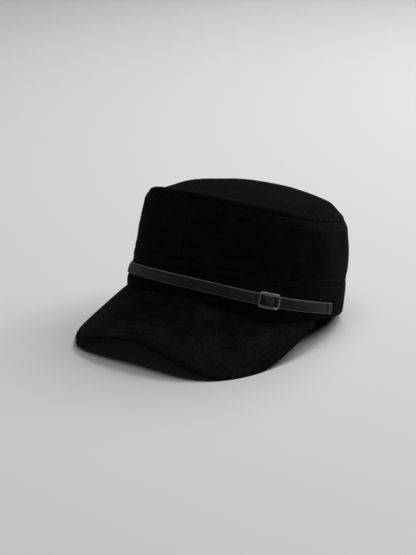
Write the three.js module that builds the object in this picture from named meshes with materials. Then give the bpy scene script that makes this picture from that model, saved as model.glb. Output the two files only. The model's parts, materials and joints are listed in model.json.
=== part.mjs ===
// A cadet cap: an upright cloth crown on a headband, a short arched peak, and
// a narrow leather strap across the front with a slide buckle on it.
//
// Millimetres, +Z up, the front faces -Y and the wearer's left is +X. The cap
// is modelled upright on the plane of its rim, with z = 0 at the rim, and the
// group at the end tips it back so that it rests as it does on a table: on the
// back of the rim and on the two front corners of the peak. The origin is on
// that table, under the middle of the cap.
//
// An angle round the cap is 0 at the front and grows towards the wearer's left.

import * as THREE from 'three';
import { LoftGeometry } from 'three/addons/geometries/LoftGeometry.js';

const { clamp, degToRad, radToDeg, smoothstep } = THREE.MathUtils;

// Crown: an oval that is blunter in front, drawn in towards the top. The oval
// is a superellipse whose two halves reach differently far.
const HALF_WIDTH = 92;
const FRONT_REACH = 84.3;
const BACK_REACH = 106.4;
const OVAL_EXPONENT = 2.09;
const TOP_DRAW_IN_WIDTH = 3.9;
const TOP_DRAW_IN_REACH = 0.07;
const TOP_SHIFT_FORWARD = 4.4;
const WALL_BULGE = 2.3;
const CROWN_HEIGHT_FRONT = 91.0;
const CROWN_HEIGHT_BACK = 84.4;
const CROWN_SIDE_DROP = 4.5;
const CLOTH = 2.0;
const EDGE_ROUND = 0.8;
const DENT_FADE = 10;

// Headband, standing proud of the crown, whose foot is tucked in behind it
const BAND_HEIGHT_FRONT = 38.6;
const BAND_HEIGHT_BACK = 27.3;
const BAND_SIDE_DROP = 2.0;
const BAND_PROUD = 1.0;
const BAND_THICKNESS = 2.5;
const TUCK_DEPTH = 8.0;
const TUCK_STEP = 1.7;

// The wall flares towards the rim beside the peak's ends
const FLARE = 4.4;
const FLARE_ANGLE = degToRad(60);
const FLARE_SPREAD = degToRad(26);
const FLARE_FULL_BELOW = 7;
const FLARE_NONE_ABOVE = 25;

// Peak: a stiff plate bent over like a roof tile, whose two ends run in to the
// band and bend down to the rim
const PEAK_HALF_WIDTH = 100.6;
const PEAK_TIP = 142.2;
const PEAK_END = 11;
const PEAK_END_WIDTH = 1.0;
const PEAK_END_LENGTH = 30;
const PEAK_RUN_IN = 1.5;
const PEAK_EXPONENT = 3.45;
const PEAK_ROOT_HEIGHT = 7.1;
const PEAK_SLOPE = 0.587;
const PEAK_BEND_RADIUS = 111;
const PEAK_THICKNESS = 3.8;

// Strap and buckle
const STRAP_WIDTH = 9.6;
const STRAP_THICKNESS = 1.4;
const STRAP_HEIGHT_FRONT = 20.9;
const STRAP_HEIGHT_END = 7.8;
const STRAP_END_ANGLE = degToRad(97);
const BUCKLE_ANGLE = degToRad(50.5);
const BUCKLE_LENGTH = 20.0;
const BUCKLE_HEIGHT = 14.0;
const BUCKLE_BAR = 1.7;
const BUCKLE_THICKNESS = 1.6;
const BUCKLE_CORNER = 2.6;

// How it rests, and the gap between pieces that touch
const REST_PITCH = degToRad(12.15);
const REST_SAG = 3.0;
const GAP = 0.3;
const ANGLE_STEP = 0.01;

// Soft dents in the crown wall, or bulges where the depth is below zero: angle
// and height of the middle, how far each spreads, and how deep it is
const DENTS = [
    { angle: 103, height: 66, spreadAngle: 8, spreadHeight: 16, depth: 1.0 },
    { angle: 128, height: 58, spreadAngle: 22, spreadHeight: 30, depth: -2.0 },
    { angle: 88, height: 55, spreadAngle: 7, spreadHeight: 22, depth: -0.9 },
    { angle: 14, height: 62, spreadAngle: 9, spreadHeight: 20, depth: 0.8 },
    { angle: -40, height: 62, spreadAngle: 14, spreadHeight: 18, depth: 0.8 },
    { angle: 160, height: 56, spreadAngle: 14, spreadHeight: 20, depth: 1.5 },
];

// The top panel from its rim to its middle: a rounded edge, then a full dome,
// which lies a little lopsided, highest towards one angle
const TOP_PROFILE = [
    { radius: 0.982, rise: 3.0 },
    { radius: 0.96, rise: 4.8 },
    { radius: 0.92, rise: 6.7 },
    { radius: 0.84, rise: 9.6 },
    { radius: 0.68, rise: 14.1 },
    { radius: 0.48, rise: 18.2 },
    { radius: 0.26, rise: 21.0 },
    { radius: 0.08, rise: 22.1 },
    { radius: 0, rise: 22.2 },
];
const TOP_LEAN = 4.2;
const TOP_LEAN_ANGLE = degToRad(125);
const TOP_UNDER_INSET = 0.015;

const power = (value, exponent) => Math.sign(value) * Math.abs(value) ** exponent;

// A value that is one thing in front, another behind, and lower at the sides
function around(angle, front, back, sideDrop, radius = 1) {
    const tilt = (front - back) / 2 * Math.cos(angle) * radius;
    const sag = sideDrop * (Math.cos(2 * angle) * radius ** 2 - 1) / 2;
    return (front + back) / 2 + tilt + sag;
}

const crownHeight = (angle) => around(angle, CROWN_HEIGHT_FRONT, CROWN_HEIGHT_BACK, CROWN_SIDE_DROP);
const bandHeight = (angle) => around(angle, BAND_HEIGHT_FRONT, BAND_HEIGHT_BACK, BAND_SIDE_DROP);

// The dents die out at the band's seam and at the rim of the top
function dentAt(angle, z) {
    const overSeam = smoothstep(z - bandHeight(angle), 0, DENT_FADE);
    const underRim = smoothstep(crownHeight(angle) - z, 0, DENT_FADE);
    let depth = 0;
    for (const dent of DENTS) {
        const across = (radToDeg(angle) - dent.angle) / dent.spreadAngle;
        const up = (z - dent.height) / dent.spreadHeight;
        depth += dent.depth * Math.exp(-(across ** 2) - up ** 2);
    }
    return depth * overSeam * underRim;
}

// The outer face of the crown's oval, at a height over the rim
function ovalPoint(angle, z) {
    const rise = z / crownHeight(angle);
    const bulge = WALL_BULGE * 4 * rise * (1 - rise);
    const width = HALF_WIDTH - TOP_DRAW_IN_WIDTH * rise + bulge;
    const fullReach = Math.cos(angle) > 0 ? FRONT_REACH : BACK_REACH;
    const reach = fullReach * (1 - TOP_DRAW_IN_REACH * rise) + bulge;
    const x = width * power(Math.sin(angle), 2 / OVAL_EXPONENT);
    const y = -TOP_SHIFT_FORWARD * rise - reach * power(Math.cos(angle), 2 / OVAL_EXPONENT);
    return new THREE.Vector3(x, y, z);
}

function flareAt(angle, z) {
    const turned = Math.abs(Math.atan2(Math.sin(angle), Math.cos(angle)));
    const across = (turned - FLARE_ANGLE) / FLARE_SPREAD;
    const up = clamp((z - FLARE_FULL_BELOW) / (FLARE_NONE_ABOVE - FLARE_FULL_BELOW), 0, 1);
    return FLARE * Math.exp(-(across ** 2)) * (1 - up);
}

// A point of the cap's wall, offset squarely outwards from the oval
function wallPoint(angle, z, offset, dented = false) {
    const point = ovalPoint(angle, z);
    const along = ovalPoint(angle + ANGLE_STEP, z).sub(ovalPoint(angle - ANGLE_STEP, z));
    const outward = new THREE.Vector3(along.y, -along.x, 0).normalize();
    const distance = offset + flareAt(angle, z) - (dented ? dentAt(angle, z) : 0);
    return point.addScaledVector(outward, distance);
}

// The peak's upper face: bent across and sloping down forwards from the height
// at which it meets the band in front. Its ends come down to the rim.
const bandFront = -wallPoint(0, 0, BAND_PROUD).y;
const peakEndAngle = findAngle((angle) => -wallPoint(angle, 0, BAND_PROUD).y - PEAK_END);
const peakEndHalfWidth = wallPoint(peakEndAngle, 0, BAND_PROUD).x;
const peakEndDrop = peakSlab(peakEndHalfWidth, PEAK_END);

function peakSlab(x, forward) {
    const bend = x ** 2 / (2 * PEAK_BEND_RADIUS);
    return PEAK_ROOT_HEIGHT - bend - PEAK_SLOPE * (forward - bandFront);
}

function peakEndShare(forward) {
    return Math.max(0, 1 - (forward - PEAK_END) / PEAK_END_LENGTH);
}

function peakTop(x, forward) {
    return peakSlab(x, forward) - peakEndDrop * peakEndShare(forward) ** 2;
}

// The angle between the front and the back at which a falling value is zero
function findAngle(value) {
    let low = 0;
    let high = Math.PI;
    for (let step = 0; step < 50; step += 1) {
        const middle = (low + high) / 2;
        if (value(middle) > 0) low = middle;
        else high = middle;
    }
    return low;
}

// The band's lower edge lies on the peak, with a little to spare at its ends,
// and is level with the rim elsewhere
const peakSeatAngle = peakEndAngle + 3 * GAP / HALF_WIDTH;

function bandFoot(angle, offset) {
    if (Math.abs(angle) > peakSeatAngle) return 0;
    const point = wallPoint(angle, 0, offset);
    return peakTop(point.x, -point.y) + GAP;
}

// The table that the cap rests on, in the cap's own upright frame: a point
// that would go below it is pressed flat on it
const tableNormal = new THREE.Vector3(0, -Math.sin(REST_PITCH), Math.cos(REST_PITCH));
const lowestBack = wallPoint(Math.PI, 0, 0);
const tableHeight = lowestBack.dot(tableNormal) + REST_SAG;

function pressOnTable(point) {
    const height = point.dot(tableNormal) - tableHeight;
    if (height < 0) point.addScaledVector(tableNormal, -height);
    return point;
}

function steps(from, to, count) {
    return Array.from({ length: count + 1 }, (_, index) => from + (to - from) * index / count);
}

// One half of the crown wall, from the front seam to the back seam
function crownSideGeometry(side) {
    const SECTIONS = 44;
    const RISES = [0.12, 0.3, 0.5, 0.7, 0.88];
    const halfSeam = GAP / 2;
    const sections = steps(0, Math.PI, SECTIONS).map((sweep) => {
        const angle = side * sweep;
        const seam = bandHeight(angle);
        const top = crownHeight(angle) - CLOTH - 2 * GAP;
        const foot = [
            { z: seam - TUCK_DEPTH, offset: BAND_PROUD - BAND_THICKNESS - GAP },
            { z: seam + GAP, offset: BAND_PROUD - BAND_THICKNESS - GAP },
            { z: seam + TUCK_STEP, offset: 0 },
        ];
        const middle = RISES.map((rise) => ({ z: seam + (top - seam) * rise, offset: 0 }));
        const head = [{ z: top - EDGE_ROUND, offset: 0 }, { z: top, offset: -EDGE_ROUND / 2 }];
        const profile = [...foot, ...middle, ...head];
        const inner = profile.map(({ z, offset }) => wallPoint(angle, z, offset - CLOTH, true));
        const outer = profile.map(({ z, offset }) => wallPoint(angle, z, offset, true)).reverse();
        const section = [...inner, ...outer];
        for (const point of section) point.x = side * Math.max(side * point.x, halfSeam);
        return side > 0 ? section : section.reverse();
    });
    return new LoftGeometry(sections, { capStart: true, capEnd: true });
}

// The domed top panel, whose edge lies on the two halves of the wall
function crownTopGeometry() {
    const SECTORS = 72;
    const angles = steps(0, 2 * Math.PI, SECTORS).slice(0, SECTORS);

    const panelPoint = (angle, radius, rise, inset) => {
        const height = around(angle, CROWN_HEIGHT_FRONT, CROWN_HEIGHT_BACK, CROWN_SIDE_DROP, radius);
        const lean = TOP_LEAN * radius * Math.cos(angle - TOP_LEAN_ANGLE) * smoothstep(1 - radius, 0.02, 0.16);
        const rim = wallPoint(angle, crownHeight(angle), 0);
        const middle = -TOP_SHIFT_FORWARD;
        const share = Math.max(radius - inset, 0);
        return new THREE.Vector3(rim.x * share, middle + (rim.y - middle) * share, height + rise + lean);
    };
    const edge = (offset, drop) => angles.map((angle) => {
        const z = crownHeight(angle) - drop;
        return wallPoint(angle, z, offset);
    });
    const ring = ({ radius, rise }, drop, inset) => angles.map(
        (angle) => panelPoint(angle, radius, rise - drop, inset));

    const under = TOP_PROFILE.map((station) => ring(station, CLOTH, TOP_UNDER_INSET)).reverse();
    const rim = [edge(-EDGE_ROUND, CLOTH), edge(0, CLOTH / 2), edge(-EDGE_ROUND, 0)];
    const over = TOP_PROFILE.map((station) => ring(station, 0, 0));
    return new LoftGeometry([...under, ...rim, ...over]);
}

// The headband, one closed ring, standing on the peak in front
function headbandGeometry() {
    const OVER_PEAK = 42;
    const BEHIND_PEAK = 54;
    const inside = BAND_PROUD - BAND_THICKNESS;
    const behind = peakSeatAngle + ANGLE_STEP;
    const angles = [
        ...steps(-peakSeatAngle, peakSeatAngle, OVER_PEAK),
        ...steps(behind, 2 * Math.PI - behind, BEHIND_PEAK),
    ];
    const sections = angles.map((angle) => {
        const top = bandHeight(angle);
        const foot = bandFoot(angle, BAND_PROUD) + EDGE_ROUND;
        const low = Math.max(FLARE_FULL_BELOW, foot + EDGE_ROUND);
        const high = Math.min(FLARE_NONE_ABOVE, top - 2 * EDGE_ROUND);
        const profile = [
            { z: bandFoot(angle, inside), offset: inside },
            { z: low, offset: inside },
            { z: high, offset: inside },
            { z: top, offset: inside },
            { z: top, offset: BAND_PROUD - EDGE_ROUND },
            { z: top - EDGE_ROUND, offset: BAND_PROUD },
            { z: high, offset: BAND_PROUD },
            { z: low, offset: BAND_PROUD },
            { z: foot, offset: BAND_PROUD },
            { z: bandFoot(angle, BAND_PROUD - EDGE_ROUND), offset: BAND_PROUD - EDGE_ROUND },
        ];
        return profile.map(({ z, offset }) => pressOnTable(wallPoint(angle, z, offset)));
    });
    return new LoftGeometry([...sections, sections[0]]);
}

// The peak, lofted across from rib to rib. A rib runs from under the band out
// to the rounded edge, along the upper face, and back along the lower face.
function peakGeometry() {
    const RIBS = 56;
    const ALONG = [0, 0.2, 0.4, 0.6, 0.8, 1];
    const inside = BAND_PROUD - BAND_THICKNESS;
    const halfThick = PEAK_THICKNESS / 2;

    const ribPoint = (root, tip, along, drop) => {
        const x = root.x + (tip.x - root.x) * along;
        const forward = root.forward + (tip.forward - root.forward) * along;
        const point = new THREE.Vector3(x, -forward, peakTop(x, forward) - drop);
        return pressOnTable(point);
    };
    const sections = steps(-Math.PI / 2, Math.PI / 2, RIBS).map((sweep) => {
        const rootPoint = wallPoint(sweep / (Math.PI / 2) * peakEndAngle, 0, inside);
        const root = { x: rootPoint.x, forward: -rootPoint.y };
        const outline = (inset) => {
            const reach = (PEAK_TIP - PEAK_END - inset) * power(Math.cos(sweep), 2 / PEAK_EXPONENT);
            const forward = PEAK_END + reach;
            const endWidth = peakEndHalfWidth + PEAK_END_WIDTH;
            const runIn = (PEAK_HALF_WIDTH - endWidth) * peakEndShare(forward) ** PEAK_RUN_IN;
            const halfWidth = PEAK_HALF_WIDTH - inset - runIn;
            return { x: halfWidth * power(Math.sin(sweep), 2 / PEAK_EXPONENT), forward };
        };
        const face = outline(halfThick);
        const edge = outline(0);
        const upper = ALONG.map((along) => ribPoint(root, face, along, 0));
        const nose = ribPoint(root, edge, 1, halfThick);
        const lower = ALONG.map((along) => ribPoint(root, face, along, PEAK_THICKNESS)).reverse();
        return [...upper, nose, ...lower];
    });
    return new LoftGeometry(sections, { capStart: true, capEnd: true });
}

// Places on the band's outer face near the strap's middle line
function strapHeight(angle) {
    const share = Math.min(Math.abs(angle) / STRAP_END_ANGLE, 1);
    return STRAP_HEIGHT_FRONT + (STRAP_HEIGHT_END - STRAP_HEIGHT_FRONT) * share ** 2;
}

function strapPoint(angle, up, offset) {
    return wallPoint(angle, strapHeight(angle) + up, BAND_PROUD + offset);
}

// The buckle lies flat against the strap, tangent to the band
const buckleInside = GAP + STRAP_THICKNESS + GAP;
const buckleMiddle = strapPoint(BUCKLE_ANGLE, 0, buckleInside);
const buckleAlong = strapPoint(BUCKLE_ANGLE + ANGLE_STEP, 0, buckleInside)
    .sub(strapPoint(BUCKLE_ANGLE - ANGLE_STEP, 0, buckleInside))
    .normalize();
const buckleUp = strapPoint(BUCKLE_ANGLE, 1, buckleInside).sub(strapPoint(BUCKLE_ANGLE, -1, buckleInside));
const buckleOut = new THREE.Vector3().crossVectors(buckleAlong, buckleUp).normalize();
buckleUp.crossVectors(buckleOut, buckleAlong);

// The strap lies on the band, dips under the buckle's two end bars and passes
// over its middle bar
function strapLift(distance) {
    const overMiddle = GAP + STRAP_THICKNESS + GAP + BUCKLE_THICKNESS + GAP;
    const openingEnd = BUCKLE_LENGTH / 2 - BUCKLE_BAR;
    const share = 1 - smoothstep(Math.abs(distance), BUCKLE_BAR / 2 + GAP, openingEnd - GAP);
    return GAP + (overMiddle - GAP) * share;
}

function strapGeometry() {
    const COARSE = 64;
    const FINE = 30;
    const buckleReach = BUCKLE_LENGTH / 2 / HALF_WIDTH;
    const angles = [
        ...steps(-STRAP_END_ANGLE, BUCKLE_ANGLE - buckleReach, COARSE).slice(0, COARSE),
        ...steps(BUCKLE_ANGLE - buckleReach, BUCKLE_ANGLE + buckleReach, FINE),
        ...steps(BUCKLE_ANGLE + buckleReach, STRAP_END_ANGLE, COARSE / 2).slice(1),
    ];
    const sections = angles.map((angle) => {
        const distance = strapPoint(angle, 0, 0).sub(buckleMiddle).dot(buckleAlong);
        const lift = strapLift(distance);
        const half = STRAP_WIDTH / 2;
        return [
            strapPoint(angle, -half, lift),
            strapPoint(angle, half, lift),
            strapPoint(angle, half, lift + STRAP_THICKNESS),
            strapPoint(angle, -half, lift + STRAP_THICKNESS),
        ];
    });
    return new LoftGeometry(sections, { capStart: true, capEnd: true });
}

// A rectangle with round corners, as a shape or as a hole
function roundedRectangle(target, left, bottom, right, top, radius) {
    target.moveTo(left + radius, bottom);
    target.lineTo(right - radius, bottom);
    target.absarc(right - radius, bottom + radius, radius, -Math.PI / 2, 0);
    target.lineTo(right, top - radius);
    target.absarc(right - radius, top - radius, radius, 0, Math.PI / 2);
    target.lineTo(left + radius, top);
    target.absarc(left + radius, top - radius, radius, Math.PI / 2, Math.PI);
    target.lineTo(left, bottom + radius);
    target.absarc(left + radius, bottom + radius, radius, Math.PI, 1.5 * Math.PI);
    return target;
}

function buckleGeometry() {
    const bevel = 0.4;
    const right = BUCKLE_LENGTH / 2 - bevel;
    const top = BUCKLE_HEIGHT / 2 - bevel;
    const bar = BUCKLE_BAR - 2 * bevel;
    const holeRadius = BUCKLE_CORNER - BUCKLE_BAR;
    const shape = roundedRectangle(new THREE.Shape(), -right, -top, right, top, BUCKLE_CORNER - bevel);
    for (const side of [-1, 1]) {
        const near = side * (bar / 2);
        const far = side * (right - bar);
        const hole = roundedRectangle(
            new THREE.Path(), Math.min(near, far), bar - top, Math.max(near, far), top - bar, holeRadius);
        shape.holes.push(hole);
    }
    return new THREE.ExtrudeGeometry(shape, {
        depth: BUCKLE_THICKNESS - 2 * bevel,
        bevelThickness: bevel,
        bevelSize: bevel,
        bevelSegments: 1,
        curveSegments: 4,
    }).translate(0, 0, bevel);
}

// Finishes: a dark napped wool cloth, a dark leather and a dark plated metal
const cloth = new THREE.MeshStandardMaterial({ color: 0x15161c, roughness: 0.95, metalness: 0 });
const leather = new THREE.MeshStandardMaterial({ color: 0x241f1e, roughness: 0.5, metalness: 0 });
const darkMetal = new THREE.MeshStandardMaterial({ color: 0x4a4a4e, roughness: 0.35, metalness: 0.9 });

function piece(name, geometry, material) {
    const mesh = new THREE.Mesh(geometry, material);
    mesh.name = name;
    return mesh;
}

const buckle = piece('buckle', buckleGeometry(), darkMetal);
buckle.setRotationFromMatrix(new THREE.Matrix4().makeBasis(buckleAlong, buckleUp, buckleOut));
buckle.position.copy(buckleMiddle);

const cap = new THREE.Group();
cap.add(
    piece('crown_top', crownTopGeometry(), cloth),
    piece('crown_side_left', crownSideGeometry(1), cloth),
    piece('crown_side_right', crownSideGeometry(-1), cloth),
    piece('headband', headbandGeometry(), cloth),
    piece('peak', peakGeometry(), cloth),
    piece('strap', strapGeometry(), leather),
    buckle,
);

// Tip the cap back, stand it on the table and centre it over the origin
cap.rotation.x = -REST_PITCH;
cap.updateMatrixWorld(true);
const extent = new THREE.Box3().setFromObject(cap, true);
cap.position.set(0, -(extent.min.y + extent.max.y) / 2, -tableHeight);

const model = new THREE.Group();
model.add(cap);

export default model;
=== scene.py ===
import json
import math

import bpy
import numpy as np
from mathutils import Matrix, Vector

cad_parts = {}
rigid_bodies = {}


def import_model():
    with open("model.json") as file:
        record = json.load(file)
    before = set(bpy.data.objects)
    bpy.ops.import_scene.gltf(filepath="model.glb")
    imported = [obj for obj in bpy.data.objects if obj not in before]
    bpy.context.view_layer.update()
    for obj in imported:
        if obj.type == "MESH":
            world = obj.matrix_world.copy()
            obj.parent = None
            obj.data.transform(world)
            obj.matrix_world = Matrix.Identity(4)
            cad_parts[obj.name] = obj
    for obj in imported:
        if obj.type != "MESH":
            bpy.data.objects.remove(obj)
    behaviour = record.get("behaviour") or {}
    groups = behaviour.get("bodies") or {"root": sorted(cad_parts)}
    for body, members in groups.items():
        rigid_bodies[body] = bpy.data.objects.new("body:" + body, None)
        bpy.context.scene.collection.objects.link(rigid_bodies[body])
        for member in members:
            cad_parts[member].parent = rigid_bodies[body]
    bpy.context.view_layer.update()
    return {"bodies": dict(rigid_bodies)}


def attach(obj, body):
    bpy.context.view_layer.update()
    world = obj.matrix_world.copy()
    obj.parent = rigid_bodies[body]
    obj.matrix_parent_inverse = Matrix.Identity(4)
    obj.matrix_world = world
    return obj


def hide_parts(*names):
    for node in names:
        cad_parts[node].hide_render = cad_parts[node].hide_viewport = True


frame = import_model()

# Sizes are in millimetres in the cap's own upright frame, with z = 0 at the rim,
# and place() turns them into metres in the frame of the model. An angle round
# the cap is 0 at the front and grows towards the wearer's left.

# Crown
HALF_WIDTH = 92.0
FRONT_REACH = 84.3
BACK_REACH = 106.4
OVAL_EXPONENT = 2.09
TOP_DRAW_IN_WIDTH = 3.9
TOP_DRAW_IN_REACH = 0.07
TOP_SHIFT_FORWARD = 4.4
WALL_BULGE = 2.3
CROWN_HEIGHT_FRONT = 91.0
CROWN_HEIGHT_BACK = 84.4
CROWN_SIDE_DROP = 4.5
CLOTH = 1.9

# Headband
BAND_HEIGHT_FRONT = 38.6
BAND_HEIGHT_BACK = 27.3
BAND_SIDE_DROP = 2.0
BAND_PROUD = 1.0
BAND_FLUSH = 0.3
BAND_FLUSH_REACH = 6.0
BAND_THICKNESS = 2.5

# The wall flares towards the rim beside the peak's ends
FLARE = 4.4
FLARE_ANGLE = math.radians(60)
FLARE_SPREAD = math.radians(26)
FLARE_FULL_BELOW = 7.0
FLARE_NONE_ABOVE = 25.0

# Peak
PEAK_HALF_WIDTH = 100.6
PEAK_TIP = 142.2
PEAK_END = 11.0
PEAK_END_WIDTH = 1.0
PEAK_END_LENGTH = 30.0
PEAK_RUN_IN = 1.5
PEAK_EXPONENT = 3.45
PEAK_ROOT_HEIGHT = 7.1
PEAK_SLOPE = 0.587
PEAK_BEND_RADIUS = 111.0
PEAK_THICKNESS = 3.8
PEAK_ROWS = [20.2, 13.9, 5.2]

# The peak's corner on the wearer's right is blunter: by how much, and its middle
# and spread in degrees of the sweep along the peak's edge
PEAK_BLUNT = 3.2
PEAK_BLUNT_AT = -46
PEAK_BLUNT_SPREAD = 16

# Strap and buckle. The strap dips at the buckle, rises towards its end on the
# wearer's left, and has a crease across it near each end.
STRAP_WIDTH = 9.6
STRAP_THICKNESS = 1.4
STRAP_HEIGHT_FRONT = 20.9
STRAP_HEIGHT_END = 7.8
STRAP_END_ANGLE = math.radians(97)
STRAP_DIP = 1.4
STRAP_END_RISE = 1.1
STRAP_END_CREASE = 7.8
STRAP_END_ZONE = math.radians(6)
STRAP_CORNER = 1.9
STRAP_SEAT = 0.15
BUCKLE_ANGLE = math.radians(50.5)
BUCKLE_LENGTH = 20.0
BUCKLE_HEIGHT = 14.0
BUCKLE_BAR = 1.7
BUCKLE_THICKNESS = 1.6
BUCKLE_CORNER = 2.6

# The buckle's frame stops short of that size by this much at each end and each
# side, and its corners are rounder by this much
BUCKLE_SHORTER = 0.7
BUCKLE_LOWER = 0.35
BUCKLE_ROUNDER = 0.4

# How it rests: tipped back, with its rim sagging a little, and shifted along y so
# that the origin is under its middle
REST_PITCH = math.radians(12.15)
REST_SAG = 3.0
CENTRING_SHIFT = 17.390

# Gap between pieces, and the step in radians over which a slope is taken
GAP = 0.3
ANGLE_STEP = 0.01

# Soft dents of the crown wall, or bulges where the depth is below zero: angle in
# degrees, height, spread in degrees, spread in height, depth
DENTS = [
    (103, 66, 8, 16, 1.5),
    (128, 58, 22, 30, -2.0),
    (88, 55, 7, 22, -1.4),
    (14, 62, 9, 20, 0.8),
    (-40, 62, 14, 18, 0.8),
    (160, 56, 14, 20, 1.5),
]

# The top panel from its seam to its middle: radius and rise. Its rounded edge is
# higher in front than at the sides and behind.
TOP_EDGE = [(1.0, 0.0), (0.995, 1.5), (0.982, 3.4), (0.960, 4.9), (0.925, 6.6), (0.88, 8.4)]
TOP_EDGE_LOW = [(1.0, 0.0), (0.995, 1.2), (0.982, 2.9), (0.960, 4.7), (0.925, 6.5), (0.88, 8.2)]
TOP_DOME = [(0.80, 10.7), (0.68, 14.1), (0.48, 18.2), (0.26, 21.0), (0.08, 22.1), (0.0, 22.2)]

# The top lies a little lopsided, highest towards this angle
TOP_LEAN = 4.2
TOP_LEAN_ANGLE = math.radians(125)

# The rim is softer on the wearer's right of the front: its middle and spread in
# degrees, how far the wall leans in there and how far the top panel's edge drops
SOFT_RIM_AT = -66
SOFT_RIM_SPREAD = 27
SOFT_RIM_LEAN = 2.2
SOFT_RIM_DROP = 2.0

# The wall leans in over this depth under the seam of the top panel, which lies
# a little under the crown's full height
LEAN_DEPTH = 9.0
RIM_CLEARANCE = 0.15

# The wall's foot is tucked in behind the headband: how far in and how far down
TUCK_IN = 1.75
TUCK_DEPTH = 7.5

# The top panel's row puckers more on the wearer's left: middle and spread in degrees
PUCKER_AT = 88
PUCKER_SPREAD = 24

# Radius that turns an angle round the cap into a length along it
ROUND_RADIUS = 90
STRAP_RADIUS = 93
TOP_RADIUS = 95

# Stitching
STITCH_PITCH = 3.1
STITCH_LENGTH = 2.2
THREAD_RADIUS = 0.27
FRONT_ROW = 4.75

# One stitch from end to end: share of its length, then the height of its middle
# over the cloth and its thickness, both in thread radii
STITCH_PROFILE = [
    (0.0, -2.4, 0.5),
    (0.12, -0.9, 0.85),
    (0.32, 0.1, 1.0),
    (0.5, 0.25, 1.0),
    (0.68, 0.1, 1.0),
    (0.88, -0.9, 0.85),
    (1.0, -2.4, 0.5),
]

# How finely the pieces are divided
CROWN_COLUMNS = 300
TOP_COLUMNS = 440
PEAK_RIBS = 330
BAND_COLUMNS = 620

# Camera, in metres, degrees and millimetres of lens and sensor
CAMERA_AT = (0.74513, -1.01804, 0.44727)
CAMERA_DOWN = 17.731
CAMERA_ROUND = 36.744
CAMERA_LENS = 97.477
CAMERA_SENSOR = 36


def power(value, exponent):
    return np.sign(value) * np.abs(value) ** exponent


def smooth(value, start, end):
    share = np.clip((value - start) / (end - start), 0, 1)
    return share * share * (3 - 2 * share)


def bell(value, middle, spread):
    return np.exp(-((value - middle) / spread) ** 2)


def unit(vectors):
    return vectors / np.linalg.norm(vectors, axis=-1, keepdims=True)


def turned(angle):
    """The angle round the cap from -pi to pi."""
    return np.arctan2(np.sin(angle), np.cos(angle))


def around(angle, front, back, side_drop, radius=1.0):
    tilt = (front - back) / 2 * np.cos(angle) * radius
    sag = side_drop * (np.cos(2 * angle) * radius ** 2 - 1) / 2
    return (front + back) / 2 + tilt + sag


def crown_height(angle):
    return around(angle, CROWN_HEIGHT_FRONT, CROWN_HEIGHT_BACK, CROWN_SIDE_DROP)


def band_height(angle):
    return around(angle, BAND_HEIGHT_FRONT, BAND_HEIGHT_BACK, BAND_SIDE_DROP)


def oval(angle, z):
    """The crown's outer oval at a height over the rim."""
    rise = z / crown_height(angle)
    bulge = WALL_BULGE * 4 * rise * (1 - rise)
    width = HALF_WIDTH - TOP_DRAW_IN_WIDTH * rise + bulge
    full_reach = np.where(np.cos(angle) > 0, FRONT_REACH, BACK_REACH)
    reach = full_reach * (1 - TOP_DRAW_IN_REACH * rise) + bulge
    x = width * power(np.sin(angle), 2 / OVAL_EXPONENT)
    y = -TOP_SHIFT_FORWARD * rise - reach * power(np.cos(angle), 2 / OVAL_EXPONENT)
    return x, y


def band_proud(angle, z):
    """How far the band stands out: it runs in almost flush with the crown at their seam."""
    return BAND_FLUSH + (BAND_PROUD - BAND_FLUSH) * smooth(band_height(angle) - z, 0.5, BAND_FLUSH_REACH)


def flare_at(angle, z):
    across = (np.abs(turned(angle)) - FLARE_ANGLE) / FLARE_SPREAD
    up = np.clip((z - FLARE_FULL_BELOW) / (FLARE_NONE_ABOVE - FLARE_FULL_BELOW), 0, 1)
    return FLARE * np.exp(-across ** 2) * (1 - up)


def wall(angle, z, offset=0.0):
    """Points of the wall, offset squarely outwards from the oval."""
    angle, z, offset = np.broadcast_arrays(angle, z, offset)
    offset = offset + flare_at(angle, z)
    x, y = oval(angle, z)
    next_x, next_y = oval(angle + ANGLE_STEP, z)
    last_x, last_y = oval(angle - ANGLE_STEP, z)
    along_x = next_x - last_x
    along_y = next_y - last_y
    length = np.hypot(along_x, along_y)
    return np.stack([x + offset * along_y / length, y - offset * along_x / length, z + 0.0], -1)


TABLE_NORMAL = np.array([0, -math.sin(REST_PITCH), math.cos(REST_PITCH)])
TABLE_HEIGHT = float(wall(math.pi, 0.0) @ TABLE_NORMAL) + REST_SAG


def press_on_table(points):
    """A point that would go below the table is pressed flat on it."""
    height = points @ TABLE_NORMAL - TABLE_HEIGHT
    return points - np.minimum(height, 0)[..., None] * TABLE_NORMAL


def place(points):
    """From the cap's upright frame to the model's frame, in metres."""
    points = np.asarray(points, float)
    cos, sin = math.cos(REST_PITCH), math.sin(REST_PITCH)
    y = points[..., 1] * cos + points[..., 2] * sin + CENTRING_SHIFT
    z = points[..., 2] * cos - points[..., 1] * sin - TABLE_HEIGHT
    return np.stack([points[..., 0], y, z], -1) / 1000


def waves(points, length, seed, count=14):
    """Soft seeded noise, about -1 to 1, with features of the given length."""
    random = np.random.default_rng(seed)
    total = 0.0
    for _ in range(count):
        direction = random.normal(size=3)
        direction /= np.linalg.norm(direction)
        pitch = length * random.uniform(0.7, 1.6)
        total = total + np.sin(points @ direction * (2 * math.pi / pitch) + random.uniform(0, 6.28))
    return total / math.sqrt(count) / 1.2


def ripples(along, length, seed, count=9):
    """Seeded noise of one variable."""
    random = np.random.default_rng(seed)
    total = 0.0
    for _ in range(count):
        pitch = length * random.uniform(0.6, 1.8)
        total = total + np.sin(along * (2 * math.pi / pitch) + random.uniform(0, 6.28))
    return total / math.sqrt(count)


def groove(distance, depth, width):
    return -depth * np.exp(-(distance / width) ** 2)


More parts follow.
